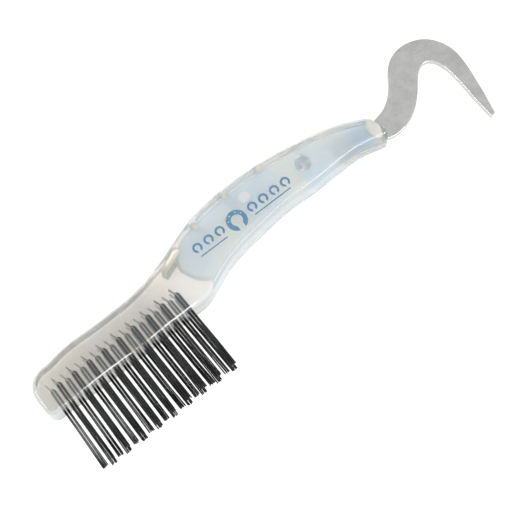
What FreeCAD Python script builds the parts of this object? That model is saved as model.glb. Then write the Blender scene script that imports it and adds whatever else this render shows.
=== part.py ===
"""Hoof pick with a brush: a steel pick moulded into a clear plastic handle with a stapled brush head.

Frame while modelling (mm): X runs along the brush face from the heel towards the pick, Y points away
from the bristles and Z is the thickness.  The part lies on its far side, z = 0.  Each finished piece
is then placed so that the origin is the middle of the underside of the whole part's box.
"""

import FreeCAD, Part
import math
import os

import Sketcher
from FreeCAD import Placement, Rotation, Vector

# Driving dimensions: cell alias, value in mm or degrees, meaning.
DIMENSIONS = [
    ("thickness", 18.0, "handle, side face to side face"),
    ("plate", 3.2, "steel plate of the pick, 1/8 inch"),
    ("rimHead", 2.0, "rounding of the rim at the head and collar"),
    ("rimGrip", 3.6, "rounding of the rim at the middle of the grip"),
    ("heelX", -3.0, "heel end of the handle"),
    ("heelTop", 20.0, "back of the head at the heel"),
    ("heelTopRadius", 10.0, "upper corner of the heel"),
    ("heelLowRadius", 4.5, "lower corner of the heel"),
    ("crestX", 121.5, "highest point of the grip's back"),
    ("crestY", 35.6, "highest point of the grip's back"),
    ("saddleX", 138.0, "deepest point of the grip's underside"),
    ("saddleY", 12.0, "deepest point of the grip's underside"),
    ("tuftPitch", 8.0, "tuft to tuft along a row"),
    ("firstTuft", 8.3, "first tuft of the outer rows"),
    ("rowSpacing", 5.7, "row to row across the thickness"),
    ("holeDiameter", 3.6, "tuft hole"),
    ("holeDepth", 11.0, "tuft hole"),
    ("trimLength", 30.1, "bristles outside the brush face"),
    ("strand", 0.7, "bristle filament diameter"),
    ("stapleWire", 0.6, "staple wire diameter"),
    ("stapleWidth", 2.8, "staple, middle of leg to middle of leg"),
    ("stapleBite", 3.0, "staple legs past the bottom of the tuft hole"),
    ("stapleLean", 18.0, "staple legs' lean towards the heel, degrees"),
    ("fanHeel", -2.2, "lean of the tufts at the heel, degrees"),
    ("fanShoulder", 1.0, "lean of the tufts at the shoulder, degrees"),
    ("hangX", 153.3, "hang hole"),
    ("hangY", 22.8, "hang hole"),
    ("hangDiameter", 7.5, "hang hole"),
    ("tangWidth", 8.0, "tang inside the handle"),
    ("tangEndX", 172.2, "middle of the tang's round end"),
    ("tangEndY", 18.2, "middle of the tang's round end"),
    ("anchorDiameter", 4.0, "anchor hole in the tang, filled by the core"),
    ("coreCover", 3.0, "clear cover over each side of the grip core"),
    ("coreRim", 1.5, "rounding of the core's long edges"),
    ("fitGap", 0.05, "shrinkage gap round the core, the tang and the staples"),
    ("nubDiameter", 3.2, "core stand-offs along the back of the grip"),
    ("ribLength", 12.0, "long stand-off at the neck"),
    ("gateX", 122.6, "gate mark on the near side face"),
    ("gateY", 26.1, "gate mark on the near side face"),
    ("gateDiameter", 5.6, "gate mark"),
    ("gateDepth", 0.25, "gate mark"),
    ("inkFilm", 0.04, "pad-printed ink"),
]

TUFTS_PER_ROW = 9
# Rows across the thickness: name, steps of the row spacing from the middle, offset in tuft pitches.
ROWS = [("near", 1, 0.0), ("middle", 0, -0.48), ("far", -1, 0.0)]
# Filaments of one leg of a folded tuft: distance from the hole's axis along X, then along Z.
LEG_FILAMENTS = [(1.27, -0.36), (1.27, 0.36), (0.67, -0.72), (0.67, 0.0), (0.67, 0.72)]
FOLD_CLEARANCE = 0.1
BROKEN_EDGE = 0.35
# Tools that cut through a face start this far outside it.
OVERSHOOT = 1.0
UPRIGHT = Rotation()

doc = FreeCAD.newDocument("hoof_pick")


# ---------------------------------------------------------------- helpers
def make_sheet():
    """Write the driving dimensions into a spreadsheet, one aliased cell each."""
    cells = doc.addObject("Spreadsheet::Sheet", "Sizes")
    for row, (alias, value, meaning) in enumerate(DIMENSIONS, start=1):
        cells.set(f"A{row}", alias)
        cells.set(f"B{row}", str(value))
        cells.set(f"C{row}", meaning)
        cells.setAlias(f"B{row}", alias)
    doc.recompute()
    return cells


sheet = make_sheet()


def size(alias):
    """Give one driving dimension as a plain number."""
    return float(getattr(sheet, alias))


def point(x, y):
    return Vector(x, y, 0)


def curve_through(points, start, end):
    """Smooth curve through the points, with the given directions at its two ends."""
    curve = Part.BSplineCurve()
    curve.interpolate(
        Points=[point(x, y) for x, y in points],
        InitialTangent=point(*start),
        FinalTangent=point(*end),
    )
    return curve


def line(start, end):
    return Part.LineSegment(point(*start), point(*end))


def quarter(centre, radius, first):
    """Quarter circle that turns anticlockwise from an angle in degrees."""
    circle = Part.Circle(point(*centre), Vector(0, 0, 1), radius)
    return Part.ArcOfCircle(circle, math.radians(first), math.radians(first + 90))


def add_sketch(body, name, lift):
    """Add an empty sketch to a body, parallel to its XY plane at a height from the sheet."""
    sketch = body.newObject("Sketcher::SketchObject", name)
    plane = next(f for f in body.Origin.OriginFeatures if f.Role == "XY_Plane")
    sketch.AttachmentSupport = (plane, [""])
    sketch.MapMode = "FlatFace"
    sketch.setExpression("AttachmentOffset.Base.z", lift)
    return sketch


def add_round(body, name, kind, diameter, place, lift, length):
    """Add a round boss or pocket whose diameter, place, height and length are sheet expressions."""
    sketch = add_sketch(body, name + "_circle", lift)
    sketch.setExpression("AttachmentOffset.Base.x", place[0])
    sketch.setExpression("AttachmentOffset.Base.y", place[1])
    circle = sketch.addGeometry(Part.Circle(Vector(0, 0, 0), Vector(0, 0, 1), 1.0))
    sketch.addConstraint(Sketcher.Constraint("Coincident", circle, 3, -1, 1))
    rim = sketch.addConstraint(Sketcher.Constraint("Diameter", circle, 2.0))
    sketch.renameConstraint(rim, "diameter")
    sketch.setExpression("Constraints.diameter", diameter)
    before = body.Shape.Volume
    feature = body.newObject(kind, name)
    feature.Profile = sketch
    feature.setExpression("Length", length)
    feature.Reversed = kind == "PartDesign::Pocket"
    doc.recompute()
    if kind == "PartDesign::Pocket" and body.Shape.Volume >= before:
        raise RuntimeError(f"{name} cut nothing")
    return feature


def body_with_pad(name, curves, length, lift):
    """Make a body that pads one closed outline along Z; its length and base height are expressions."""
    body = doc.addObject("PartDesign::Body", name)
    sketch = add_sketch(body, name + "_outline", lift)
    sketch.addGeometry(curves, False)
    pad = body.newObject("PartDesign::Pad", name + "_pad")
    pad.Profile = sketch
    pad.setExpression("Length", length)
    doc.recompute()
    return body


def cylinder(name, diameter, height, placement):
    """Make a cylinder whose diameter and height are sheet expressions."""
    solid = doc.addObject("Part::Cylinder", name)
    solid.setExpression("Radius", f"({diameter}) / 2")
    solid.setExpression("Height", height)
    solid.Placement = placement
    return solid


def block(name, length, width, height, placement):
    """Make a box whose sides are sheet expressions."""
    solid = doc.addObject("Part::Box", name)
    solid.setExpression("Length", length)
    solid.setExpression("Width", width)
    solid.setExpression("Height", height)
    solid.Placement = placement
    return solid


def fuse(name, members):
    joined = doc.addObject("Part::MultiFuse", name)
    joined.Shapes = members
    return joined


def compound(name, members):
    joined = doc.addObject("Part::Compound", name)
    joined.Links = members
    return joined


def cut(name, base, tool):
    result = doc.addObject("Part::Cut", name)
    result.Base = base
    result.Tool = tool
    return result


def common(name, first, second):
    result = doc.addObject("Part::MultiCommon", name)
    result.Shapes = [first, second]
    return result


def rounded(name, base, radii):
    """Round a solid's edges: radii gives the two end radii of an edge, or None to leave it sharp."""
    result = doc.addObject("Part::Fillet", name)
    result.Base = base
    edges = []
    for number, edge in enumerate(base.Shape.Edges, start=1):
        ends = radii(edge)
        if ends:
            edges.append((number, *ends))
    result.Edges = edges
    doc.recompute()
    return result


def on_side(edge, low, high):
    """Say whether an edge lies flat in one of two planes of constant Z."""
    box = edge.BoundBox
    return box.ZLength < 0.01 and min(abs(box.ZMin - low), abs(box.ZMin - high)) < 0.01


# ---------------------------------------------------------------- steel pick
NECK = (186.4, 14.7)
# The pick's edges are broken from here on, outside the collar.
BLADE_START = 200.0


def pick_curves(gaps):
    """Outline of the pick: round-ended tang, flared neck, round crown, long point; gaps widens the tang."""
    half = size("tangWidth") / 2 + gaps * size("fitGap")
    end = point(size("tangEndX"), size("tangEndY"))
    neck = point(*NECK)
    along = (neck - end).normalize()
    across = Vector(-along.y, along.x, 0) * half
    tang_top, tang_low = end + across, end - across
    neck_top, neck_low = neck + across, neck - across
    outer = curve_through(
        [(neck_top.x, neck_top.y), (190.6, 19.3), (194.4, 20.4), (198.7, 21.3), (204.7, 24.6),
         (209.5, 29.3), (213.3, 34.3), (217.7, 38.2), (224.4, 40.4), (231.6, 39.7), (237.8, 36.5),
         (242.2, 31.1), (244.5, 24.6), (244.6, 17.0), (243.1, 7.5), (241.3, -1.6), (239.0, -11.4)],
        (along.x, along.y), (-0.21, -0.98),
    )
    inner = curve_through(
        [(236.5, -11.9), (236.2, -3.0), (236.3, 7.0), (236.1, 15.5), (235.2, 21.5), (233.3, 25.5),
         (230.2, 27.4), (226.8, 26.9), (223.5, 24.5), (219.3, 19.9), (213.8, 14.5), (208.3, 10.9),
         (203.2, 9.1), (198.4, 8.5), (194.2, 8.9), (190.6, 10.0), (neck_low.x, neck_low.y)],
        (-0.05, 1.0), (-along.x, -along.y),
    )
    tip = Part.LineSegment(outer.EndPoint, inner.StartPoint)
    return [
        Part.LineSegment(tang_top, neck_top),
        outer,
        tip,
        inner,
        Part.LineSegment(neck_low, tang_low),
        Part.Arc(tang_low, end - along * half, tang_top),
    ]


def make_plate(name, gaps):
    """Blanked plate with the anchor hole in its tang; gaps is 1 for the pocket that holds it, or 0."""
    lift = f"(Sizes.thickness - Sizes.plate) / 2 - {gaps} * Sizes.fitGap"
    length = f"Sizes.plate + 2 * {gaps} * Sizes.fitGap"
    anchor = f"Sizes.anchorDiameter - 2 * {gaps} * Sizes.fitGap"
    body = body_with_pad(name, pick_curves(gaps), length, lift)
    place = ("Sizes.tangEndX", "Sizes.tangEndY")
    add_round(body, name + "_anchor", "PartDesign::Pocket", anchor, place, lift, length)
    return body


def make_pick():
    """Steel pick: the plate with its long edges broken outside the handle."""
    body = make_plate("pick_plate", 0)
    low = (size("thickness") - size("plate")) / 2

    def broken(edge):
        """Round the plate's edges outside the handle."""
        outside = edge.BoundBox.XMax > BLADE_START
        return (BROKEN_EDGE, BROKEN_EDGE) if outside and on_side(edge, low, low + size("plate")) else None

    return rounded("pick_blade", body, broken)


# ---------------------------------------------------------------- handle
def handle_curves():
    """Outline of the handle: round heel, flat brush face, swept grip and a square collar."""
    heel, top = size("heelX"), size("heelTop")
    big, low = size("heelTopRadius"), size("heelLowRadius")
    crest = (size("crestX"), size("crestY"))
    saddle = (size("saddleX"), size("saddleY"))
    shoulder = (79.0, 0.0)
    back = curve_through(
        [(heel + big, top), (18, 21.3), (34, 21.3), (44, 21.3), (53, 21.5), (64, 22.9), (72, 25.0),
         (79, 27.4), (88.5, 31.1), (98, 33.6), (107.7, 34.9), crest],
        (1, 0), (1, 0),
    )
    back_front = curve_through(
        [crest, (137, 35.0), (151, 33.3), (163, 31.3), (172, 29.3), (184, 24.7), (188.3, 22.6)],
        (1, 0), (0.88, -0.48),
    )
    end = curve_through(
        [(188.3, 22.6), (190.4, 21.2), (191.8, 19.0), (192.3, 15.2), (192.1, 11.3), (190.4, 8.8)],
        (0.88, -0.48), (-0.94, 0.3),
    )
    under_front = curve_through(
        [(190.4, 8.8), (185.2, 10.2), (178.5, 11.5), (170.5, 11.8), (163, 11.7), (155, 11.5),
         (147, 11.7), saddle],
        (-0.94, 0.3), (-1, 0),
    )
    under = curve_through(
        [saddle, (131, 11.6), (125, 11.0), (119, 10.4), (113, 9.7), (107, 8.7), (100, 7.0), (94, 4.8),
         (88.5, 2.5), (83.5, 0.6), shoulder],
        (-1, 0), (-1, 0),
    )
    return [
        quarter((heel + big, top - big), big, 90),
        line((heel, top - big), (heel, low)),
        quarter((heel + low, low), low, 180),
        line((heel + low, 0), shoulder),
        under, under_front, end, back_front, back,
    ]


def make_handle_blank():
    """Solid handle with its rims rounded, more where the grip swells than at the head and collar."""
    body = body_with_pad("handle_slab", handle_curves(), "Sizes.thickness", "0")
    slim, full = size("rimHead"), size("rimGrip")
    swollen = (size("crestX"), size("saddleX"))

    def rim(edge):
        """Radii at the two ends of a rim edge."""
        if not on_side(edge, 0.0, size("thickness")):
            return None
        ends = (edge.firstVertex().X, edge.lastVertex().X)
        return tuple(full if min(abs(x - s) for s in swollen) < 0.1 else slim for x in ends)

    return rounded("handle_blank", body, rim)


# ---------------------------------------------------------------- grip core
NUB_CENTRES = [(136.3, 32.6), (116.3, 32.5), (97.1, 29.7)]
RIB_CORNER = (74.6, 19.6)
RIB_ANGLE = 22.0


def core_curves():
    """Outline of the pre-moulded core: it follows the grip and ends in a rounded nose at the neck."""
    back = curve_through(
        [(86.0, 26.6), (95, 29.8), (107, 31.8), (121.5, 32.6), (137, 31.9), (151, 30.2), (168, 27.2),
         (181, 23.2), (188.0, 20.0)],
        (0.85, 0.5), (0.9, -0.44),
    )
    front = curve_through([(188.0, 20.0), (190.3, 15.6), (188.2, 11.3)], (0.9, -0.44), (-0.96, 0.26))
    under = curve_through(
        [(188.2, 11.3), (178.5, 14.2), (163, 14.8), (147, 15.0), (132, 15.2), (119, 14.2),
         (107, 12.0), (96, 9.0), (90.5, 7.2)],
        (-0.96, 0.26), (-0.95, -0.26),
    )
    nose = curve_through(
        [(90.5, 7.2), (85.6, 9.2), (82.3, 14.0), (80.8, 19.2), (82.2, 23.6), (86.0, 26.6)],
        (-0.95, -0.26), (0.85, 0.5),
    )
    return [back, front, under, nose]


def make_core(tag, gaps):
    """Core with three round stand-offs and one long one, which reach both sides of the mould.

    gaps is 0 for the core and 1 for the pocket that holds it.
    """
    gap = gaps * size("fitGap")
    grown = f"2 * {gaps} * Sizes.fitGap"
    body = body_with_pad(tag + "_slab", core_curves(), f"Sizes.thickness - 2 * Sizes.coreCover + {grown}",
                         f"Sizes.coreCover - {gaps} * Sizes.fitGap")
    top = size("thickness")
    low = size("coreCover") - gap

    def long_edge(edge):
        """Round the core's two outlines."""
        radius = size("coreRim")
        return (radius, radius) if on_side(edge, low, top - low) else None

    slab = rounded(tag + "_rounded", body, long_edge)
    through = f"Sizes.thickness + 2 * {OVERSHOOT}"
    stands = [
        cylinder(f"{tag}_nub_{number}", f"Sizes.nubDiameter + {grown}", through,
                 Placement(Vector(x, y, -OVERSHOOT), UPRIGHT))
        for number, (x, y) in enumerate(NUB_CENTRES, start=1)
    ]
    corner = point(*RIB_CORNER) - Vector(gap, gap, OVERSHOOT)
    rib = block(tag + "_rib", f"Sizes.ribLength + {grown}", f"Sizes.nubDiameter + {grown}", through,
                Placement(corner, Rotation(Vector(0, 0, 1), RIB_ANGLE)))
    return fuse(tag + "_with_stands", [slab, rib] + stands)


# ---------------------------------------------------------------- brush
def tuft_places():
    """Mouth and lean of every tuft hole: row name, number in the row, placement."""
    last = size("firstTuft") + (TUFTS_PER_ROW - 1) * size("tuftPitch")
    for row, step, shift in ROWS:
        for number in range(TUFTS_PER_ROW):
            x = size("firstTuft") + (number + shift) * size("tuftPitch")
            share = (x - size("firstTuft")) / (last - size("firstTuft"))
            lean = size("fanHeel") + share * (size("fanShoulder") - size("fanHeel"))
            mouth = Vector(x, 0, size("thickness") / 2 + step * size("rowSpacing"))
            yield row, number + 1, Placement(mouth, Rotation(Vector(0, 0, 1), lean))


def swept_wire(name, diameter, edges):
    """Round wire of a sheet diameter along a path of joined lines and arcs."""
    path = doc.addObject("Part::Feature", name + "_path")
    path.Shape = Part.Wire(edges)
    start = edges[0].firstVertex().Point
    profile = doc.addObject("Part::Circle", name + "_section")
    profile.setExpression("Radius", f"({diameter}) / 2")
    heading = edges[0].tangentAt(edges[0].FirstParameter)
    profile.Placement = Placement(start, Rotation(Vector(0, 0, 1), heading))
    wire = doc.addObject("Part::Sweep", name)
    wire.Sections = [profile]
    wire.Spine = (path, [f"Edge{number + 1}" for number in range(len(edges))])
    wire.Solid = True
    wire.Frenet = True
    return wire


def make_filament(index, arm, depth):
    """One bristle filament folded in two: both ends at the trim line, its fold inside the hole."""
    outermost = max(leg[0] for leg in LEG_FILAMENTS)
    fold = size("holeDepth") - FOLD_CLEARANCE - size("strand") / 2 - outermost
    tip = -size("trimLength")
    left, right = Vector(-arm, fold, depth), Vector(arm, fold, depth)
    edges = [
        Part.LineSegment(Vector(-arm, tip, depth), left).toShape(),
        Part.Arc(left, Vector(0, fold + arm, depth), right).toShape(),
        Part.LineSegment(right, Vector(arm, tip, depth)).toShape(),
    ]
    return swept_wire(f"filament_{index}", "Sizes.strand", edges)


def make_staple(name, diameter):
    """Wire staple: its crown lies in the fold across the strands and its legs bite past the hole."""
    outermost = max(leg[0] for leg in LEG_FILAMENTS)
    crown = size("holeDepth") - FOLD_CLEARANCE - size("strand") / 2 - outermost
    half = size("stapleWidth") / 2
    bend = size("stapleWire")
    reach = size("holeDepth") + size("stapleBite") - crown
    turn = Rotation(Vector(0, 0, 1), size("stapleLean"))

    def at(up, across):
        """Point of the staple, turned to its lean about the crown."""
        return Vector(0, crown, 0) + turn.multVec(Vector(0, up, across))

    mid = bend * (1 - math.sqrt(0.5))
    edges = [
        Part.LineSegment(at(reach, -half), at(bend, -half)).toShape(),
        Part.Arc(at(bend, -half), at(mid, -half + mid), at(0, -half + bend)).toShape(),
        Part.LineSegment(at(0, -half + bend), at(0, half - bend)).toShape(),
        Part.Arc(at(0, half - bend), at(mid, half - mid), at(bend, half)).toShape(),
        Part.LineSegment(at(bend, half), at(reach, half)).toShape(),
    ]
    return swept_wire(name, diameter, edges)


# ---------------------------------------------------------------- pad print
# Plain horseshoes printed on the near side face: centre X, centre Y, outer radius.
SMALL_SHOES = [(x, 20.4, 2.3) for x in (92.0, 98.2, 104.4, 122.6, 128.8, 135.0, 141.2)]
LARGE_SHOE = (113.4, 19.6, 4.9)
SHOE_BORE = 0.56
SHOE_MOUTH = 0.62
RULES = [(91.0, 15.9, 14.5), (121.4, 16.4, 20.0)]
RULE_WIDTH = 0.55
NAIL_ANGLES = (25, 65, 115, 155)
NAIL_DIAMETER = 0.7


def make_print():
    """Ink film: horseshoes with the mouth down, nail holes in the large one, and two thin rules."""
    face = size("thickness")
    discs, bores = [], []
    for number, (x, y, radius) in enumerate(SMALL_SHOES + [LARGE_SHOE], start=1):
        centre = Vector(x, y, face)
        below = Vector(x, y, face - OVERSHOOT)
        place = Placement(centre, UPRIGHT)
        discs.append(cylinder(f"shoe_{number}", f"{2 * radius}", "Sizes.inkFilm", place))
        bores.append(cylinder(f"shoe_bore_{number}", f"{2 * radius * SHOE_BORE}", f"2 * {OVERSHOOT}",
                              Placement(below, UPRIGHT)))
        mouth = radius * SHOE_MOUTH
        past = radius + OVERSHOOT
        bores.append(block(f"shoe_mouth_{number}", f"{mouth}", f"{past}", f"2 * {OVERSHOOT}",
                           Placement(below - Vector(mouth / 2, past, 0), UPRIGHT)))
    x, y, radius = LARGE_SHOE
    for number, angle in enumerate(NAIL_ANGLES, start=1):
        reach = radius * (1 + SHOE_BORE) / 2
        offset = Vector(reach * math.cos(math.radians(angle)), reach * math.sin(math.radians(angle)), 0)
        bores.append(cylinder(f"shoe_nail_{number}", f"{NAIL_DIAMETER}", f"2 * {OVERSHOOT}",
                              Placement(Vector(x, y, face - OVERSHOOT) + offset, UPRIGHT)))
    rules = [
        block(f"rule_{number}", f"{length}", f"{RULE_WIDTH}", "Sizes.inkFilm",
              Placement(Vector(x, y, face), UPRIGHT))
        for number, (x, y, length) in enumerate(RULES, start=1)
    ]
    shoes = cut("ink_shoes", compound("ink_discs", discs), compound("ink_bores", bores))
    return compound("ink_film", [shoes] + rules)


# ---------------------------------------------------------------- assembly
def placed_copies(name, master, places):
    """Repeat one master object at every tuft place and give the list of copies."""
    copies = []
    for row, number, place in places:
        copy = compound(f"{name}_{row}_{number}", [master])
        copy.Placement = place
        copies.append(copy)
    return copies


def make_handle(blank, channels, places):
    """Handle: the blank less the core's and tang's pockets, the tuft holes and the hang hole."""
    aim = Rotation(Vector(1, 0, 0), -90)
    holes = [
        cylinder(f"tuft_hole_{row}_{number}", "Sizes.holeDiameter", f"Sizes.holeDepth + {OVERSHOOT}",
                 place.multiply(Placement(Vector(0, -OVERSHOOT, 0), aim)))
        for row, number, place in places
    ]
    gate_base = Vector(size("gateX"), size("gateY"), size("thickness") - size("gateDepth"))
    gate = cylinder("gate_mark", "Sizes.gateDiameter", f"Sizes.gateDepth + {OVERSHOOT}",
                    Placement(gate_base, UPRIGHT))
    pockets = fuse("grip_pockets", [make_core("core_pocket", 1), make_plate("pick_pocket", 1), gate])
    grip = cut("handle_with_pockets", blank, pockets)
    drilled = cut("handle_with_tuft_holes", grip, compound("tuft_holes", holes))
    return cut("handle_with_staple_channels", drilled, compound("staple_channels", channels))


def check_objects():
    """Recompute the document and stop if any of its objects failed."""
    doc.recompute()
    for item in doc.Objects:
        if "Invalid" in item.State or "Error" in item.State:
            raise RuntimeError(f"{item.Name} failed: {item.State}")


def main():
    """Build every piece, place it in the part's own frame and write its STEP file."""
    places = list(tuft_places())
    pick_blade = make_pick()
    blank = make_handle_blank()
    filaments = []
    for number, (arm, depth) in enumerate(LEG_FILAMENTS, start=1):
        filaments.append(make_filament(number, arm, depth))
    tuft = compound("tuft_strands", filaments)
    staple = make_staple("staple_wire", "Sizes.stapleWire")
    channel = make_staple("staple_channel", "Sizes.stapleWire + 2 * Sizes.fitGap")
    hang = Placement(Vector(size("hangX"), size("hangY"), -OVERSHOOT), UPRIGHT)
    hang_hole = cylinder("hang_hole", "Sizes.hangDiameter", f"Sizes.thickness + 2 * {OVERSHOOT}", hang)
    handle_solid = make_handle(blank, placed_copies("channel", channel, places), places)
    core_in_blank = common("core_in_blank", make_core("core", 0), blank)
    core_with_tang_slot = cut("core_with_tang_slot", core_in_blank, make_plate("tang_slot", 1))

    pieces = {
        "handle": [cut("handle_with_hang_hole", handle_solid, hang_hole)],
        "grip_core": [cut("core_with_hang_hole", core_with_tang_slot, hang_hole)],
        "pick": [pick_blade],
        "grip_print": [make_print()],
    }
    turned = {}
    for row, number, place in places:
        pieces[f"tuft_{row}_{number}"] = [tuft]
        pieces[f"staple_{row}_{number}"] = [staple]
        turned[f"tuft_{row}_{number}"] = place
        turned[f"staple_{row}_{number}"] = place
    check_objects()

    nodes = {}
    for label, members in pieces.items():
        node = compound("piece_" + label, members)
        node.Label = label
        node.Placement = turned.get(label, Placement())
        nodes[label] = node
    check_objects()

    whole = FreeCAD.BoundBox()
    for node in nodes.values():
        whole.add(node.Shape.optimalBoundingBox())
    origin = Placement(Vector(-whole.Center.x, -whole.Center.y, -whole.ZMin), UPRIGHT)
    for node in nodes.values():
        node.Placement = origin.multiply(node.Placement)
    check_objects()

    os.makedirs("parts", exist_ok=True)
    for label, node in nodes.items():
        if node.Shape.isNull() or not node.Shape.isValid():
            raise RuntimeError(f"{label} has no valid shape")
        node.Shape.exportStep(f"parts/{label}.step")
        if "_near_" in label or "_middle_" in label or "_far_" in label:
            continue
        print(f"{label}: {len(node.Shape.Solids)} solids, {node.Shape.Volume:.0f} mm3")
    print("origin moved by", origin.Base, "whole", whole)


main()
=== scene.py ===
"""Looks of the hoof pick with a brush: clear milky handle, steel pick, stapled black bristles."""

import logging
import math
import random
from dataclasses import dataclass, field
from enum import Enum
from typing import Iterable, Sequence

import bmesh
import bpy
from mathutils import Matrix, Vector
from mathutils.bvhtree import BVHTree


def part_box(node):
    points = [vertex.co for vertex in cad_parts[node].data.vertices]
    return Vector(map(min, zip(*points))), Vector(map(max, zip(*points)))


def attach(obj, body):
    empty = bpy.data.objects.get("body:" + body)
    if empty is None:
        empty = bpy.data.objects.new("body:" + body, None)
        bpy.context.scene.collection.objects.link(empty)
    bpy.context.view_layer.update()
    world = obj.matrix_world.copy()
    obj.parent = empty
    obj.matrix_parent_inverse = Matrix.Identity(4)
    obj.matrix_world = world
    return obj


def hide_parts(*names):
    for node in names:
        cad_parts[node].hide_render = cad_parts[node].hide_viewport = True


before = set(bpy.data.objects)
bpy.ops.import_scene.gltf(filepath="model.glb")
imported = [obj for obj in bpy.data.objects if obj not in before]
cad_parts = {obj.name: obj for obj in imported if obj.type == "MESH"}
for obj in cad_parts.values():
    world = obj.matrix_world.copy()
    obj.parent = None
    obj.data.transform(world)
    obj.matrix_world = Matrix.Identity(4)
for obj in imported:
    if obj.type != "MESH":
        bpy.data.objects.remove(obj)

log = logging.getLogger("hoof_pick")

MM = 0.001
WELD = 0.5e-6
BODY = "root"
Colour = tuple[float, float, float]
WHITE: Colour = (1.0, 1.0, 1.0)
FLATNESS = "flatness"
NOISE_LIMITS = (0.3, 0.7)


# ------------------------------------------------------------------ shading
class Effect(Enum):
    """Shared shading effects, each one a node group."""

    CLOUDS = "Soft clouds"
    GRAIN = "Fine grain"
    LINES = "Drawn lines"


def _group(
    effect: Effect, inputs: dict[str, tuple[str, object]], outputs: dict[str, str]
) -> bpy.types.NodeTree:
    """Start an empty node group with its sockets.

    Args:
        effect: the effect that the group is for.
        inputs: socket name to (socket type, default value).
        outputs: socket name to socket type.

    Returns:
        The node group, with its input and output nodes named "in" and "out".
    """
    tree = bpy.data.node_groups.new(effect.value, "ShaderNodeTree")
    for name, (kind, value) in inputs.items():
        socket = tree.interface.new_socket(name, in_out="INPUT", socket_type=kind)
        if value is not None:
            socket.default_value = value
    for name, kind in outputs.items():
        tree.interface.new_socket(name, in_out="OUTPUT", socket_type=kind)
    tree.nodes.new("NodeGroupInput").name = "in"
    tree.nodes.new("NodeGroupOutput").name = "out"
    return tree


def _limited(tree: bpy.types.NodeTree, noise: bpy.types.Node) -> bpy.types.Node:
    """Add the node that spreads a noise's usual values over the whole range.

    Args:
        tree: the node group.
        noise: the noise node.

    Returns:
        The map range node.
    """
    spread = tree.nodes.new("ShaderNodeMapRange")
    spread.inputs["From Min"].default_value = NOISE_LIMITS[0]
    spread.inputs["From Max"].default_value = NOISE_LIMITS[1]
    tree.links.new(tree.nodes["in"].outputs["Scale"], noise.inputs["Scale"])
    tree.links.new(noise.outputs["Fac"], spread.inputs["Value"])
    return spread


def _between(tree: bpy.types.NodeTree, noise: bpy.types.Node) -> None:
    """Put a noise out as a value from Low to High and as a height.

    Args:
        tree: the node group, with Low and High inputs and Value and Height outputs.
        noise: the noise node.
    """
    limits = _limited(tree, noise)
    ends, out = tree.nodes["in"].outputs, tree.nodes["out"].inputs
    tree.links.new(ends["Low"], limits.inputs["To Min"])
    tree.links.new(ends["High"], limits.inputs["To Max"])
    tree.links.new(limits.outputs["Result"], out["Value"])
    tree.links.new(noise.outputs["Fac"], out["Height"])


def clouds_group() -> bpy.types.NodeTree:
    """Two tones that drift into each other, as flow marks do in a thick moulding."""
    tree = _group(
        Effect.CLOUDS,
        {
            "Vector": ("NodeSocketVector", None),
            "Scale": ("NodeSocketFloat", 30.0),
            "Tone A": ("NodeSocketColor", (1, 1, 1, 1)),
            "Tone B": ("NodeSocketColor", (1, 1, 1, 1)),
        },
        {"Color": "NodeSocketColor", "Fac": "NodeSocketFloat"},
    )
    nodes, links = tree.nodes, tree.links
    noise = nodes.new("ShaderNodeTexNoise")
    noise.inputs["Detail"].default_value = 3.0
    noise.inputs["Distortion"].default_value = 0.6
    spread = _limited(tree, noise)
    mix = nodes.new("ShaderNodeMix")
    mix.data_type = "RGBA"
    links.new(nodes["in"].outputs["Vector"], noise.inputs["Vector"])
    links.new(spread.outputs["Result"], mix.inputs["Factor"])
    links.new(nodes["in"].outputs["Tone A"], mix.inputs["A"])
    links.new(nodes["in"].outputs["Tone B"], mix.inputs["B"])
    links.new(mix.outputs["Result"], nodes["out"].inputs["Color"])
    links.new(spread.outputs["Result"], nodes["out"].inputs["Fac"])
    return tree


def grain_group() -> bpy.types.NodeTree:
    """Fine speckle: a value between two limits, for roughness, and the same speckle as a height."""
    tree = _group(
        Effect.GRAIN,
        {
            "Vector": ("NodeSocketVector", None),
            "Scale": ("NodeSocketFloat", 1500.0),
            "Low": ("NodeSocketFloat", 0.1),
            "High": ("NodeSocketFloat", 0.2),
        },
        {"Value": "NodeSocketFloat", "Height": "NodeSocketFloat"},
    )
    nodes, links = tree.nodes, tree.links
    noise = nodes.new("ShaderNodeTexNoise")
    noise.inputs["Detail"].default_value = 2.0
    links.new(nodes["in"].outputs["Vector"], noise.inputs["Vector"])
    _between(tree, noise)
    return tree


def lines_group() -> bpy.types.NodeTree:
    """Fine lines along one axis, from drawing or rolling: the vector is squeezed along that axis."""
    tree = _group(
        Effect.LINES,
        {
            "Vector": ("NodeSocketVector", None),
            "Squeeze": ("NodeSocketVector", (1.0, 0.05, 1.0)),
            "Scale": ("NodeSocketFloat", 4000.0),
            "Low": ("NodeSocketFloat", 0.1),
            "High": ("NodeSocketFloat", 0.2),
        },
        {"Value": "NodeSocketFloat", "Height": "NodeSocketFloat"},
    )
    nodes, links = tree.nodes, tree.links
    squeeze = nodes.new("ShaderNodeVectorMath")
    squeeze.operation = "MULTIPLY"
    noise = nodes.new("ShaderNodeTexNoise")
    noise.inputs["Detail"].default_value = 1.0
    links.new(nodes["in"].outputs["Vector"], squeeze.inputs[0])
    links.new(nodes["in"].outputs["Squeeze"], squeeze.inputs[1])
    links.new(squeeze.outputs["Vector"], noise.inputs["Vector"])
    _between(tree, noise)
    return tree


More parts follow.
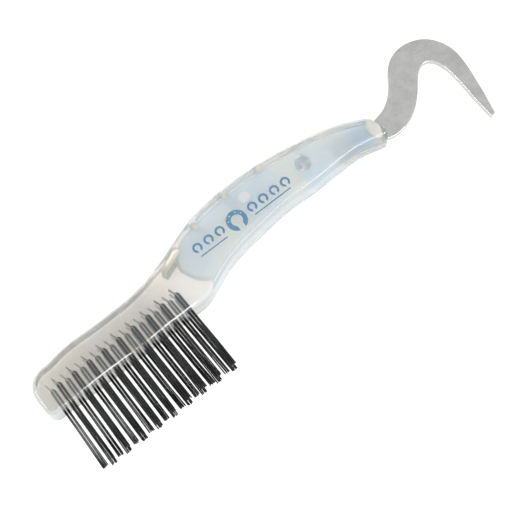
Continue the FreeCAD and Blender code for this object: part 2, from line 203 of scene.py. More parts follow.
class Paint:
    """A material being made: its node tree, its Principled shader and the Object coordinates."""

    def __init__(self, name: str) -> None:
        """Start a material of that name with one Principled shader."""
        self.material = bpy.data.materials.new(name)
        self.material.use_nodes = True
        self.tree = self.material.node_tree
        self.shader = self.tree.nodes["Principled BSDF"]
        self.out = self.tree.nodes["Material Output"]
        self.place = self.tree.nodes.new("ShaderNodeTexCoord").outputs["Object"]

    def plain(self, **values: object) -> None:
        """Set the shader's own sockets, with underscores for the spaces in their names."""
        for name, value in values.items():
            self.shader.inputs[name.replace("_", " ")].default_value = value

    def node(self, kind: str, **sockets: object) -> bpy.types.Node:
        """Add a node.

        Args:
            kind: the node's type, without its "ShaderNode" prefix.
            sockets: socket name, with underscores for spaces, to a value or an output socket.

        Returns:
            The new node.
        """
        made = self.tree.nodes.new("ShaderNode" + kind)
        self.feed(made, **sockets)
        return made

    def feed(self, made: bpy.types.Node, **sockets: object) -> None:
        """Set or link a node's input sockets by name."""
        for name, value in sockets.items():
            socket = made.inputs[name.replace("_", " ")]
            if isinstance(value, bpy.types.NodeSocket):
                self.tree.links.new(value, socket)
            else:
                socket.default_value = value

    def effect(self, effect: Effect, **sockets: object) -> bpy.types.Node:
        """Place a shared effect in the material, with its own values."""
        made = self.tree.nodes.new("ShaderNodeGroup")
        made.node_tree = bpy.data.node_groups[effect.value]
        self.feed(made, Vector=self.place, **sockets)
        return made

    def bump(self, height: bpy.types.NodeSocket, strength: float, distance: float) -> None:
        """Raise the surface by a height, with a bump node that feeds the shader's normal."""
        made = self.node("Bump", Strength=strength, Distance=distance, Height=height)
        self.tree.links.new(made.outputs["Normal"], self.shader.inputs["Normal"])


def rgba(colour: Colour) -> tuple[float, float, float, float]:
    """A colour with full alpha."""
    return (*colour, 1.0)


@dataclass(frozen=True)
class ClearPlastic:
    """Clear polypropylene, milky inside where it scatters: the handle, the core and their marks."""

    name: str
    warm: Colour
    cool: Colour
    clarity: float
    roughness: tuple[float, float]
    scatter: Colour = WHITE
    scatter_per_m: float = 0.0
    index: float = 1.49
    shade: Colour = WHITE
    head_ends: tuple[float, float] = (-64 * MM, -44 * MM)
    flat_from: tuple[float, float] = (0.80, 0.995)

    def make(self) -> Paint:
        """Build the material: flow clouds in the tone, fine grain in the gloss, milk inside."""
        paint = Paint(self.name)
        paint.plain(IOR=self.index, Transmission_Weight=self.clarity)
        clouds = paint.effect(Effect.CLOUDS, Scale=55.0, Tone_A=rgba(self.warm), Tone_B=rgba(self.cool))
        tone = clouds.outputs["Color"]
        if self.shade != WHITE:
            tone = self.shaded(paint, tone)
        paint.feed(paint.shader, Base_Color=tone)
        low, high = self.roughness
        grain = paint.effect(Effect.GRAIN, Scale=900.0, Low=low, High=high)
        paint.feed(paint.shader, Roughness=grain.outputs["Value"])
        paint.bump(clouds.outputs["Fac"], 0.25, 0.0004)
        if self.scatter_per_m > 0:
            milk = paint.node(
                "VolumeScatter",
                Color=rgba(self.scatter),
                Density=self.scatter_per_m,
                Anisotropy=0.1,
            )
            paint.tree.links.new(milk.outputs["Volume"], paint.out.inputs["Volume"])
        return paint

    def shaded(self, paint: Paint, tone: bpy.types.NodeSocket) -> bpy.types.NodeSocket:
        """Darken a tone on the flats of the brush head, where no milky core throws light back.

        Args:
            paint: the material being made, for a piece with a "flatness" attribute.
            tone: the tone over the grip.

        Returns:
            The tone for the whole piece.
        """
        place = paint.node("SeparateXYZ", Vector=paint.place)
        start, end = self.head_ends
        share = paint.node("MapRange", From_Min=start, From_Max=end, To_Min=1.0, To_Max=0.0)
        paint.tree.links.new(place.outputs["X"], share.inputs["Value"])
        mix = paint.node("Mix")
        mix.data_type = "RGBA"
        mix.blend_type = "MULTIPLY"
        mix.inputs["B"].default_value = rgba(self.shade)
        flat = paint.node("Attribute")
        flat.attribute_name = FLATNESS
        level = paint.node("MapRange", From_Min=self.flat_from[0], From_Max=self.flat_from[1])
        paint.tree.links.new(flat.outputs["Fac"], level.inputs["Value"])
        both = paint.node("Math")
        both.operation = "MULTIPLY"
        paint.tree.links.new(share.outputs["Result"], both.inputs[0])
        paint.tree.links.new(level.outputs["Result"], both.inputs[1])
        paint.tree.links.new(both.outputs["Value"], mix.inputs["Factor"])
        paint.tree.links.new(tone, mix.inputs["A"])
        return mix.outputs["Result"]


@dataclass(frozen=True)
class SatinSteel:
    """Tumbled stainless plate: an even satin grey with fine speckle and faint rolling lines."""

    name: str = "tumbled stainless plate"
    light: Colour = (0.60, 0.60, 0.575)
    dark: Colour = (0.50, 0.50, 0.485)
    roughness: tuple[float, float] = (0.33, 0.47)

    def make(self) -> Paint:
        """Build the material."""
        paint = Paint(self.name)
        paint.plain(Metallic=1.0)
        clouds = paint.effect(
            Effect.CLOUDS, Scale=160.0, Tone_A=rgba(self.dark), Tone_B=rgba(self.light)
        )
        speckle = paint.effect(Effect.GRAIN, Scale=2600.0, Low=0.86, High=1.08)
        tone = paint.node("Mix")
        tone.data_type = "RGBA"
        tone.blend_type = "MULTIPLY"
        tone.inputs["Factor"].default_value = 1.0
        paint.tree.links.new(clouds.outputs["Color"], tone.inputs["A"])
        paint.tree.links.new(speckle.outputs["Value"], tone.inputs["B"])
        paint.feed(paint.shader, Base_Color=tone.outputs["Result"])
        low, high = self.roughness
        lines = paint.effect(
            Effect.LINES, Squeeze=(0.08, 1.0, 1.0), Scale=3000.0, Low=low, High=high
        )
        paint.feed(paint.shader, Roughness=lines.outputs["Value"])
        paint.bump(speckle.outputs["Height"], 0.2, 0.00004)
        return paint


@dataclass(frozen=True)
class DrawnWire:
    """Staple wire: bright drawn steel with lines along the wire."""

    name: str = "drawn staple wire"
    light: Colour = (0.52, 0.50, 0.46)
    dark: Colour = (0.34, 0.33, 0.31)

    def make(self) -> Paint:
        """Build the material."""
        paint = Paint(self.name)
        paint.plain(Metallic=1.0)
        clouds = paint.effect(
            Effect.CLOUDS, Scale=700.0, Tone_A=rgba(self.dark), Tone_B=rgba(self.light)
        )
        paint.feed(paint.shader, Base_Color=clouds.outputs["Color"])
        lines = paint.effect(Effect.LINES, Scale=6000.0, Low=0.22, High=0.4)
        paint.feed(paint.shader, Roughness=lines.outputs["Value"])
        return paint


@dataclass(frozen=True)
class BlackNylon:
    """Stiff extruded filament: near black, with a soft streaky sheen along its length from its
    roughness, and lighter streaks in its tone that paint in strands catching the light.
    """

    name: str = "black nylon filament"
    # light: painted sheen on the lit strands; dark: the filament's own black
    light: Colour = (0.016, 0.016, 0.0165)
    dark: Colour = (0.001, 0.001, 0.0012)

    def make(self) -> Paint:
        """Build the material."""
        paint = Paint(self.name)
        paint.plain(IOR=1.53, Specular_IOR_Level=0.22)
        lines = paint.effect(
            Effect.LINES, Squeeze=(1.0, 0.006, 1.0), Scale=1300.0, Low=0.16, High=0.34
        )
        # painted sheen: the lines lighten the tone in streaks along the strands, for strands that catch
        # the light
        tone = paint.node("Mix")
        tone.data_type = "RGBA"
        tone.inputs["A"].default_value = rgba(self.dark)
        tone.inputs["B"].default_value = rgba(self.light)
        paint.tree.links.new(lines.outputs["Height"], tone.inputs["Factor"])
        paint.feed(paint.shader, Base_Color=tone.outputs["Result"])
        paint.feed(paint.shader, Roughness=lines.outputs["Value"])
        return paint


@dataclass(frozen=True)
class PrintInk:
    """Pad-printed ink: steel blue, a little thin in places."""

    name: str = "pad-print ink"
    full: Colour = (0.045, 0.13, 0.21)
    thin: Colour = (0.10, 0.20, 0.30)

    def make(self) -> Paint:
        """Build the material."""
        paint = Paint(self.name)
        clouds = paint.effect(
            Effect.CLOUDS, Scale=900.0, Tone_A=rgba(self.full), Tone_B=rgba(self.thin)
        )
        paint.feed(paint.shader, Base_Color=clouds.outputs["Color"])
        grain = paint.effect(Effect.GRAIN, Scale=4000.0, Low=0.45, High=0.65)
        paint.feed(paint.shader, Roughness=grain.outputs["Value"])
        return paint


def drop_fragments(bm: bmesh.types.BMesh, least: int) -> None:
    """Delete the groups of joined faces that have fewer faces than the least.

    Args:
        bm: the mesh.
        least: the fewest faces that a group may have.
    """
    left = set(bm.faces)
    small = []
    while left:
        waiting = [left.pop()]
        group = list(waiting)
        while waiting:
            joined = {f for e in waiting.pop().edges for f in e.link_faces} & left
            left -= joined
            waiting.extend(joined)
            group.extend(joined)
        if len(group) < least:
            small.extend(group)
    bmesh.ops.delete(bm, geom=small, context="FACES")


def dress(node: str, material: bpy.types.Material) -> None:
    """Give a CAD node its material.

    Args:
        node: the CAD node's name.
        material: the material to show it in.
    """
    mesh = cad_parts[node].data
    mesh.materials.clear()
    mesh.materials.append(material)


# ------------------------------------------------------------------ brush
class Row(Enum):
    """Rows of tufts across the thickness, counted from the side that faces up."""

    NEAR = "near"
    MIDDLE = "middle"
    FAR = "far"


@dataclass(frozen=True)
class Filament:
    """One folded filament of a tuft: how far its legs stand off the tuft's axis.

    The arm is along X inside the hole, closed is along X below it, and rise is along Z.
    """

    arm: float
    closed: float
    rise: float


@dataclass
class Brush:
    """The stapled bristles: nine tufts in each of three rows, and the wire staple under each fold."""

    tufts_per_row: int = 9
    strand: float = 0.62 * MM
    sides: int = 6
    fold_steps: int = 3
    hole_rest: float = 9.28 * MM
    closing: float = 17.5 * MM
    splay: float = 0.12
    stray: float = 0.20 * MM
    sway: float = 0.35 * MM
    uneven: float = 0.7 * MM
    gathered: float = 0.92
    round_part: float = 0.25
    round_end: float = 0.62
    end_gap: float = 0.05 * MM
    seed: int = 11
    filaments: Sequence[Filament] = (
        Filament(1.02 * MM, 0.98 * MM, -0.36 * MM),
        Filament(1.02 * MM, 0.98 * MM, 0.36 * MM),
        Filament(0.47 * MM, 0.38 * MM, -0.72 * MM),
        Filament(0.47 * MM, 0.38 * MM, 0.0),
        Filament(0.47 * MM, 0.38 * MM, 0.72 * MM),
    )

    def axis_of(self, node: str) -> tuple[Vector, Vector]:
        """Where a tuft lies in the CAD.

        Args:
            node: the tuft's CAD node.

        Returns:
            The middle of its cut ends, and the middle of its folds' highest part.
        """
        low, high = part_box(node)
        points = [v.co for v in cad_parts[node].data.vertices]
        ends = [p for p in points if p.y < low.y + MM]
        folds = [p for p in points if p.y > high.y - MM]
        return sum(ends, Vector()) / len(ends), sum(folds, Vector()) / len(folds)

    def leg(
        self,
        bm: bmesh.types.BMesh,
        ring: Iterable[bmesh.types.BMEdge],
        length: float,
        rng: random.Random,
        side: float,
        filament: Filament,
        sway: Vector,
    ) -> None:
        """Draw one leg of a filament down from its fold, and round off its cut end.

        Args:
            bm: the tuft's mesh.
            ring: the edges of the ring that the leg starts from.
            length: from the fold to the cut end.
            rng: the brush's own random numbers.
            side: -1 or 1, for the leg's side of the fold.
            filament: the filament that the leg belongs to.
            sway: how far the whole tuft's ends lean over.
        """
        stray = Vector((rng.uniform(-1, 1), 0, rng.uniform(-1, 1))) * self.stray + sway
        rise = filament.rise
        stations = [
            self.hole_rest,
            self.closing,
            (self.closing + length) / 2,
            length - self.strand * self.round_part,
            length,
        ]
        centre = Vector((side * filament.arm, 0, rise))
        edges = list(ring)
        for number, down in enumerate(stations):
            share = max(0.0, (down - self.closing) / (length - self.closing))
            arm = filament.arm if down < self.closing else filament.closed * (1 + self.splay * share)
            spread = rise * (self.gathered + self.splay * share)
            goal = Vector((side * arm, -down, spread)) + stray * share**2
            grown = bmesh.ops.extrude_edge_only(bm, edges=edges)["geom"]
            verts = [g for g in grown if isinstance(g, bmesh.types.BMVert)]
            edges = [g for g in grown if isinstance(g, bmesh.types.BMEdge)]
            bmesh.ops.translate(bm, verts=verts, vec=goal - centre)
            if number == len(stations) - 1:
                bmesh.ops.scale(
                    bm, verts=verts, vec=(self.round_end,) * 3, space=Matrix.Translation(-goal)
                )
            centre = goal
        bmesh.ops.edgeloop_fill(bm, edges=edges)

    def folded(
        self,
        bm: bmesh.types.BMesh,
        filament: Filament,
        length: float,
        rng: random.Random,
        sway: Vector,
    ) -> None:
        """Add one folded filament: a half turn over the staple and two legs.

        Args:
            bm: the tuft's mesh.
            filament: where its legs stand.
            length: from the fold to the cut ends.
            rng: the brush's own random numbers.
            sway: how far the whole tuft's ends lean over.
        """
        stand = Matrix.Translation((filament.arm, 0, filament.rise))
        turn = stand @ Matrix.Rotation(math.pi / 2, 4, "X")
        ring = bmesh.ops.create_circle(
            bm, segments=self.sides, radius=self.strand / 2, matrix=turn
        )["verts"]
        first = list(dict.fromkeys(e for v in ring for e in v.link_edges))
        spun = bmesh.ops.spin(
            bm,
            geom=[*ring, *first],
            cent=(0, 0, filament.rise),
            axis=(0, 0, 1),
            angle=math.pi,
            steps=self.fold_steps,
            use_duplicate=False,
        )["geom_last"]
        last = [g for g in spun if isinstance(g, bmesh.types.BMEdge)]
        for edges, side in ((first, 1.0), (last, -1.0)):
            cut = length - rng.uniform(0, 1) ** 1.5 * self.uneven
            self.leg(bm, edges, cut, rng, side, filament, sway)

    def tuft(self, node: str, rng: random.Random) -> bpy.types.Object:
        """Build one tuft where its CAD node is, in place of it.

        Args:
            node: the tuft's CAD node.
            rng: the brush's own random numbers.

        Returns:
            The tuft's object.
        """
        ends, folds = self.axis_of(node)
        low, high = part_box(node)
        outer = max(f.arm for f in self.filaments)
        along = (ends - folds).normalized()
        lean = math.atan2(along.x, -along.y)
        fold_height = high.y - outer - self.strand / 2
        centre = folds + along * ((folds.y - fold_height) / -along.y)
        length = (centre.y - low.y) / -along.y - self.end_gap
        sway = Vector((rng.uniform(-1, 1), 0, rng.uniform(-1, 1))) * self.sway
        bm = bmesh.new()
        for filament in self.filaments:
            self.folded(bm, filament, length, rng, sway)
        bmesh.ops.recalc_face_normals(bm, faces=bm.faces)
        bmesh.ops.transform(
            bm, matrix=Matrix.Translation(centre) @ Matrix.Rotation(lean, 4, "Z"), verts=bm.verts
        )
        mesh = bpy.data.meshes.new(node.replace("tuft", "bristles"))
        bm.to_mesh(mesh)
        bm.free()
        mesh.shade_smooth()
        piece = bpy.data.objects.new(mesh.name, mesh)
        bpy.context.scene.collection.objects.link(piece)
        return piece

    def build(self, nylon: bpy.types.Material, wire: bpy.types.Material) -> None:
        """Build every tuft and dress every staple.

        Args:
            nylon: the filaments' material.
            wire: the staples' material.
        """
        rng = random.Random(self.seed)
        for row in Row:
            for number in range(1, self.tufts_per_row + 1):
                node = f"tuft_{row.value}_{number}"
                piece = self.tuft(node, rng)
                piece.data.materials.append(nylon)
                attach(piece, BODY)
                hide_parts(node)
                dress(f"staple_{row.value}_{number}", wire)
            log.info("row %s: %d tufts and staples", row.value, self.tufts_per_row)


# ------------------------------------------------------------------ handle and pick
@dataclass
class Handle:
    """The clear handle, its milky core, the marks on both, the painted edge highlight and collar glow,
    and the print on the grip.

    A mesh that scatters light inside has one material only. The marks are pieces of their own,
    which scatter nothing inside. Places are in the model's frame.

    Attributes:
        moulded_gap: how near the core or tang a face of the handle's pockets lies.
        skin_cover: how far under the skin the core lies.
        whole_skin: the fewest joined faces of the skin that are kept.
        whole_line: the fewest joined faces of the edge line that are kept.
        cap_cover: how far under the skin the stand-offs' caps lie.
        cap_thick: how thick the caps and the edge line are.
        slab_half: half the core's thickness between its stand-offs.
        long_end: the middle of the long stand-off.
        long_reach: half its length and a little more.
        gate: the middle of the gate mark.
        hole_depth: how deep the tuft holes and staple channels go.
        hole_span: where they start and stop along X, from the heel.
        hole_rim: how far inside the flats and the brush face their walls lie.
        edge_from: where the edge line may start, from the heel.
        edge_reach: how far from the brush face the edge line lies.
        edge_slope: how much the edge line's faces look up, at least and at most.
        lump: the middle of the bright milky lump that paints in the collar's glow.
        lump_reach: its half sizes.
        lump_shells: how many shells it has.
    """

    moulded_gap: float = 0.2 * MM
    skin_cover: float = 0.12 * MM
    whole_skin: int = 2000
    whole_line: int = 40
    cap_cover: float = 0.07 * MM
    cap_thick: float = 0.03 * MM
    slab_half: float = 6.5 * MM
    long_end: tuple[float, float] = (-46.3 * MM, 14.4 * MM)
    long_reach: float = 7.0 * MM
    gate: Vector = field(default_factory=lambda: Vector((1.701, 20.924, 17.85)) * MM)
    gate_radius: float = 2.7 * MM
    gate_thick: float = 0.08 * MM
    hole_depth: float = 14.5 * MM
    hole_span: tuple[float, float] = (5.0 * MM, 80.0 * MM)
    hole_rim: tuple[float, float] = (1.4 * MM, 0.5 * MM)
    edge_from: float = 6.0 * MM
    edge_reach: float = 2.0 * MM
    edge_slope: tuple[float, float] = (0.86, 0.97)
    lump: Vector = field(default_factory=lambda: Vector((67.9, 10.6, 15.5)) * MM)
    lump_reach: tuple[float, float, float] = (2.9 * MM, 5.0 * MM, 2.25 * MM)
    lump_shells: int = 4
    skin: ClearPlastic = ClearPlastic(
        name="clear milky polypropylene",
        warm=(0.96, 0.93, 0.86),
        cool=(0.90, 0.93, 0.94),
        shade=(0.70, 0.69, 0.66),
        clarity=0.97,
        roughness=(0.02, 0.06),
        scatter=(0.70, 0.86, 1.0),
        scatter_per_m=50.0,
    )
    milk: ClearPlastic = ClearPlastic(
        name="milky polypropylene core",
        warm=(0.93, 0.95, 0.93),
        cool=(0.76, 0.87, 0.97),
        clarity=0.62,
        roughness=(0.4, 0.6),
        scatter=(0.78, 0.90, 1.0),
        scatter_per_m=80.0,
        index=1.01,
    )
    frost: ClearPlastic = ClearPlastic(
        name="frosted gate mark",
        warm=(0.70, 0.70, 0.69),
        cool=(0.66, 0.67, 0.69),
        clarity=0.5,
        roughness=(0.45, 0.65),
    )
    # painted highlight: a near-white strip that stands in for the light caught along the brush face's
    # rounded edge
    edge: ClearPlastic = ClearPlastic(
        name="painted edge highlight",
        warm=(1.0, 0.99, 0.97),
        cool=(0.97, 0.98, 1.0),
        clarity=0.6,
        roughness=(0.3, 0.4),
        index=1.05,
    )
    # the caps also cover the long stand-off's side, where their light cream paints out the shade
    pearl: ClearPlastic = ClearPlastic(
        name="stand-off ends",
        warm=(0.98, 0.93, 0.82),
        cool=(0.96, 0.93, 0.86),
        clarity=0.5,
        roughness=(0.45, 0.65),
        index=1.01,
    )
    # painted glow: near-white milky shells that brighten the collar's round end where light glows
    glow: ClearPlastic = ClearPlastic(
        name="painted collar glow",
        warm=(1.0, 0.98, 0.91),
        cool=(1.0, 0.99, 0.95),
        clarity=0.3,
        roughness=(0.45, 0.65),
        index=1.01,
    )
    ink: PrintInk = PrintInk()

    def inside(self) -> BVHTree:
        """The surfaces that the handle is moulded round: the core and the steel tang."""
        bm = bmesh.new()
        for node in ("grip_core", "pick"):
            bm.from_mesh(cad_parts[node].data)
        tree = BVHTree.FromBMesh(bm)
        bm.free()
        return tree

    def in_tuft_block(self, place: Vector, low: Vector, high: Vector) -> bool:
        """True for a point of a tuft hole or staple channel, inside the brush block's outer faces."""
        side, mouth = self.hole_rim
        return (
            self.hole_span[0] < place.x - low.x < self.hole_span[1]
            and mouth < place.y - low.y < self.hole_depth
            and low.z + side < place.z < high.z - side
        )

    def fused_skin(self) -> bpy.types.Object:
        """Copy the handle without the gaps round its core, tang and tufts.

        Returns:
            The handle's object, with the smooth normals that its CAD node has.
        """
        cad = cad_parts["handle"].data.copy()
        kept = cad.attributes.new("cad_normal", "FLOAT_VECTOR", "CORNER")
        kept.data.foreach_set("vector", [x for n in cad.corner_normals for x in n.vector])
        bm = bmesh.new()
        bm.from_mesh(cad)
        bmesh.ops.remove_doubles(bm, verts=bm.verts, dist=WELD)
        inner = self.inside()
        low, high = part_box("handle")

        def lines_gap(face: bmesh.types.BMFace) -> bool:
            """True for a face along the core or the tang, or one of a tuft hole's."""
            middle = face.calc_center_median()
            if self.in_tuft_block(middle, low, high):
                return True
            points = [middle, *(v.co for v in face.verts)]
            return all(inner.find_nearest(p, self.moulded_gap)[0] is not None for p in points)

        bmesh.ops.delete(bm, geom=[f for f in bm.faces if lines_gap(f)], context="FACES")
        drop_fragments(bm, self.whole_skin)
        rims = [e for e in bm.edges if e.is_boundary]
        patches = bmesh.ops.holes_fill(bm, edges=rims, sides=0)["faces"]
        bmesh.ops.triangulate(bm, faces=patches)
        layer = bm.loops.layers.float_vector["cad_normal"]
        for face in bm.faces:
            for loop in face.loops:
                if loop[layer].length < 0.5:
                    loop[layer] = face.normal
        open_edges = sum(e.is_boundary for e in bm.edges)
        mesh = bpy.data.meshes.new("handle_skin")
        bm.to_mesh(mesh)
        bm.free()
        mesh.shade_smooth()
        normals = [tuple(d.vector) for d in mesh.attributes["cad_normal"].data]
        mesh.normals_split_custom_set(normals)
        flatness = mesh.attributes.new(FLATNESS, "FLOAT", "CORNER")
        flatness.data.foreach_set("value", [abs(normal[2]) for normal in normals])
        piece = bpy.data.objects.new("handle_skin", mesh)
        bpy.context.scene.collection.objects.link(piece)
        bpy.data.meshes.remove(cad)
        log.info("handle skin: %d rims closed, %d edges open", len(patches), open_edges)
        return piece

    def stands_out(self, face: bmesh.types.BMFace, middle: float) -> bool:
        """Tell whether a face belongs to one of the core's stand-offs.

        Args:
            face: a face of the core.
            middle: the height of the handle's middle.

        Returns:
            True for a stand-off's end, and for the long one's side, whose cap paints out the shade on
            that side wall.
        """
        place = face.calc_center_median()
        away = math.hypot(place.x - self.long_end[0], place.y - self.long_end[1])
        # the long stand-off's side is capped too: painted lightening over the shade on that side wall
        reaches_side = away < self.long_reach and abs(face.normal.z) < 0.5
        return reaches_side or abs(place.z - middle) > self.slab_half

    def sunk_core(self, cover: float) -> bmesh.types.BMesh:
        """Copy the core, a little under the skin.

        Args:
            cover: how far under, in metres.

        Returns:
            The copy's mesh.
        """
        low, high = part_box("handle")
        bm = bmesh.new()
        bm.from_mesh(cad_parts["grip_core"].data)
        bmesh.ops.remove_doubles(bm, verts=bm.verts, dist=WELD)
        bm.normal_update()
        for vert in bm.verts:
            vert.co -= vert.normal * cover
            vert.co.z = min(max(vert.co.z, low.z + cover), high.z - cover)
        bm.normal_update()
        return bm

    def shown(self, name: str, bm: bmesh.types.BMesh) -> bpy.types.Object:
        """Make a piece from a finished mesh, smooth but for its sharp edges.

        Args:
            name: the piece's name.
            bm: the mesh, which is freed.

        Returns:
            The piece.
        """
        mesh = bpy.data.meshes.new(name)
        bm.to_mesh(mesh)
        bm.free()
        mesh.shade_smooth()
        mesh.set_sharp_from_angle(angle=math.radians(40))
        piece = bpy.data.objects.new(name, mesh)
        bpy.context.scene.collection.objects.link(piece)
        return piece

    def stand_off_ends(self) -> bpy.types.Object:
        """Thin caps over the ends of the core's stand-offs, and over the long one's side, where the
        light cap paints out the shade.
        """
        low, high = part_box("handle")
        middle = (low.z + high.z) / 2
        bm = self.sunk_core(self.cap_cover)
        others = [f for f in bm.faces if not self.stands_out(f, middle)]
        bmesh.ops.delete(bm, geom=others, context="FACES")
        bmesh.ops.solidify(bm, geom=bm.faces[:], thickness=self.cap_thick)
        bmesh.ops.recalc_face_normals(bm, faces=bm.faces[:])
        return self.shown("stand_off_ends", bm)

    def edge_highlight(self) -> bpy.types.Object:
        """Thin bright strip along the brush face's rounded edge: a painted highlight where that edge
        catches the light.
        """
        low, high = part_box("handle")
        bm = bmesh.new()
        bm.from_mesh(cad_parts["handle"].data)
        bmesh.ops.remove_doubles(bm, verts=bm.verts, dist=WELD)
        bm.normal_update()

        def on_edge(face: bmesh.types.BMFace) -> bool:
            """True for a face of the rounded edge that slopes as the line does."""
            middle = face.calc_center_median()
            least, most = self.edge_slope
            return (
                low.x + self.edge_from < middle.x < low.x + self.hole_span[1]
                and middle.y < low.y + self.edge_reach
                and middle.z > (low.z + high.z) / 2
                and least < face.normal.z < most
                and face.normal.y < 0
            )

        bmesh.ops.delete(bm, geom=[f for f in bm.faces if not on_edge(f)], context="FACES")
        drop_fragments(bm, self.whole_line)
        for vert in bm.verts:
            vert.co += vert.normal * self.cap_thick / 3
        bmesh.ops.solidify(bm, geom=bm.faces[:], thickness=self.cap_thick)
        bmesh.ops.recalc_face_normals(bm, faces=bm.faces[:])
        return self.shown("edge_highlight", bm)

    def gate_mark(self) -> bpy.types.Object:
        """Frosted disc in the shallow pocket where the moulding's gate was cut."""
        bm = bmesh.new()
        bmesh.ops.create_cone(
            bm,
            cap_ends=True,
            segments=48,
            radius1=self.gate_radius,
            radius2=self.gate_radius,
            depth=self.gate_thick,
            matrix=Matrix.Translation(self.gate),
        )
        return self.shown("gate_mark", bm)

    def collar_glow(self) -> bpy.types.Object:
        """Bright milky lump over the steel in the collar's round end, which paints in the glow of light
        there: thin shells, so that its edge is soft.
        """
        bm = bmesh.new()
        for shell in range(self.lump_shells):
            size = 1.0 - shell / self.lump_shells
            shape = Matrix.Diagonal((*(r * size for r in self.lump_reach), 1.0))
            place = Matrix.Translation(self.lump) @ shape
            bmesh.ops.create_uvsphere(
                bm, u_segments=32, v_segments=16, radius=1.0, matrix=place
            )
        return self.shown("collar_glow", bm)

    def build(self) -> None:
        """Build the handle, the core, their marks and the pieces that paint light, and dress the print.
        """
        core = self.shown("core_milk", self.sunk_core(self.skin_cover))
        skin = self.fused_skin()
        for piece, slot, finish in (
            (skin, "clear_plastic", self.skin),
            (core, "milky_plastic", self.milk),
            (self.stand_off_ends(), "milky_plastic", self.pearl),
            (self.collar_glow(), "milky_plastic", self.glow),
            (self.edge_highlight(), "clear_plastic", self.edge),
            (self.gate_mark(), "clear_plastic", self.frost),
        ):
            piece.data.materials.append(finish.make().material)
            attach(piece, BODY)
            log.info("%s: %d faces", piece.name, len(piece.data.polygons))
        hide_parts("handle")
        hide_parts("grip_core")
        dress("grip_print", self.ink.make().material)
        log.info("handle, core and print built")


@dataclass
class Pick:
    """The flat steel pick."""

    steel: SatinSteel = SatinSteel()

    def build(self) -> None:
        """Dress the pick."""
        dress("pick", self.steel.make().material)
        log.info("pick dressed")


# ------------------------------------------------------------------ studio
@dataclass(frozen=True)
class SoftBox:
    """A lamp: the direction to it, its distance, its width and height, and its face's radiance."""

    name: str
    towards: tuple[float, float, float]
    size: tuple[float, float]
    radiance: float
    away: float = 0.9


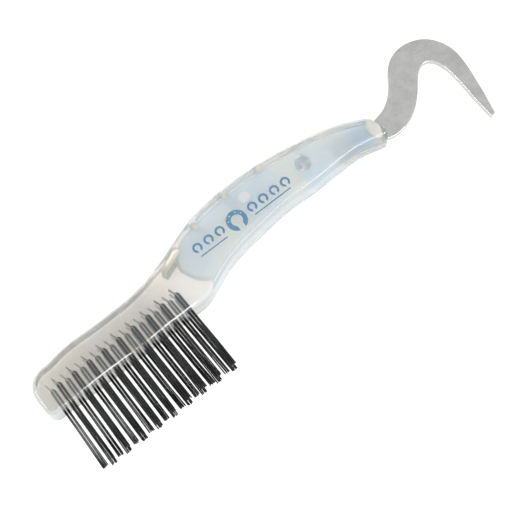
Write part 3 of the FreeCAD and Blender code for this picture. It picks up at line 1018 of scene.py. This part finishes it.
@dataclass
class Studio:
    """Pale floor, soft light and the camera."""

    floor_size: float = 6.0
    lens: float = 105.47
    azimuth: float = -38.64
    elevation: float = 73.0
    distance: float = 0.6645
    horizon: float = 1.25
    zenith: float = 0.8
    aim: Vector = field(default_factory=lambda: Vector((-9.489, -1.526, 9.0)) * MM)
    floor_drop: float = 0.02 * MM
    floor_glow: float = 0.92
    floor_tones: tuple[Colour, Colour] = ((0.27, 0.27, 0.27), (0.29, 0.29, 0.29))
    sky_top: float = 0.7
    sky_tint: Colour = (0.97, 0.985, 1.0)
    boxes: tuple[SoftBox, ...] = (
        SoftBox("key soft box", (-0.62, 0.25, 0.74), (0.34, 0.28), 13.0),
        SoftBox("rim strip", (0.2, -0.6, 0.75), (0.7, 0.2), 12.0),
    )

    def floor(self) -> None:
        """Lay the floor just under the object."""
        bm = bmesh.new()
        bmesh.ops.create_grid(bm, x_segments=1, y_segments=1, size=self.floor_size / 2)
        bmesh.ops.translate(bm, verts=bm.verts, vec=(0, 0, -self.floor_drop))
        mesh = bpy.data.meshes.new("floor")
        bm.to_mesh(mesh)
        bm.free()
        piece = bpy.data.objects.new("floor", mesh)
        bpy.context.scene.collection.objects.link(piece)
        paint = Paint("pale floor")
        paint.plain(Roughness=0.9, Specular_IOR_Level=0.1)
        paint.plain(Emission_Color=rgba(WHITE), Emission_Strength=self.floor_glow)
        dark, light = self.floor_tones
        clouds = paint.effect(Effect.CLOUDS, Scale=2.0, Tone_A=rgba(dark), Tone_B=rgba(light))
        paint.feed(paint.shader, Base_Color=clouds.outputs["Color"])
        mesh.materials.append(paint.material)

    def sky(self) -> None:
        """White light from all round, brighter towards the horizon."""
        world = bpy.data.worlds.new("studio")
        bpy.context.scene.world = world
        world.use_nodes = True
        tree = world.node_tree
        place = tree.nodes.new("ShaderNodeTexCoord")
        split = tree.nodes.new("ShaderNodeSeparateXYZ")
        tree.links.new(place.outputs["Generated"], split.inputs["Vector"])
        fade = tree.nodes.new("ShaderNodeMapRange")
        fade.inputs["From Min"].default_value = 0.0
        fade.inputs["From Max"].default_value = self.sky_top
        fade.inputs["To Min"].default_value = self.horizon
        fade.inputs["To Max"].default_value = self.zenith
        tree.links.new(split.outputs["Z"], fade.inputs["Value"])
        back = tree.nodes["Background"]
        back.inputs["Color"].default_value = rgba(self.sky_tint)
        tree.links.new(fade.outputs["Result"], back.inputs["Strength"])

    def lamp(self, box: SoftBox) -> None:
        """Hang a soft box that faces the object.

        Args:
            box: the soft box.
        """
        light = bpy.data.lights.new(box.name, "AREA")
        light.shape = "RECTANGLE"
        light.size, light.size_y = box.size
        light.energy = box.radiance * math.pi * box.size[0] * box.size[1]
        lamp = bpy.data.objects.new(box.name, light)
        direction = Vector(box.towards).normalized()
        lamp.location = self.aim + direction * box.away
        lamp.rotation_euler = direction.to_track_quat("Z", "Y").to_euler()
        bpy.context.scene.collection.objects.link(lamp)

    def camera(self) -> None:
        """Stand the camera at its angle, looking at its aim."""
        data = bpy.data.cameras.new("camera")
        data.lens = self.lens
        data.sensor_width = 36.0
        data.clip_start, data.clip_end = 0.01, 20.0
        a, e = math.radians(self.azimuth), math.radians(self.elevation)
        back = Vector((math.sin(a) * math.cos(e), -math.cos(a) * math.cos(e), math.sin(e)))
        cam = bpy.data.objects.new("camera", data)
        cam.rotation_mode = "QUATERNION"
        cam.rotation_quaternion = (-back).to_track_quat("-Z", "Y")
        cam.location = self.aim + back * self.distance
        bpy.context.scene.collection.objects.link(cam)
        bpy.context.scene.camera = cam

    def build(self) -> None:
        """Set up floor, lights, camera and how light is traced through the clear plastic."""
        self.floor()
        self.sky()
        for box in self.boxes:
            self.lamp(box)
        self.camera()
        scene = bpy.context.scene
        scene.view_settings.view_transform = "Standard"
        scene.cycles.max_bounces = 32
        scene.cycles.transmission_bounces = 28
        scene.cycles.transparent_max_bounces = 16
        scene.cycles.volume_bounces = 16
        log.info("studio ready")


def main() -> None:
    """Build the whole scene."""
    logging.basicConfig(level=logging.INFO)
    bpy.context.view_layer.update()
    clouds_group()
    grain_group()
    lines_group()
    Handle().build()
    Pick().build()
    Brush().build(BlackNylon().make().material, DrawnWire().make().material)
    Studio().build()


if __name__ == "__main__":
    main()
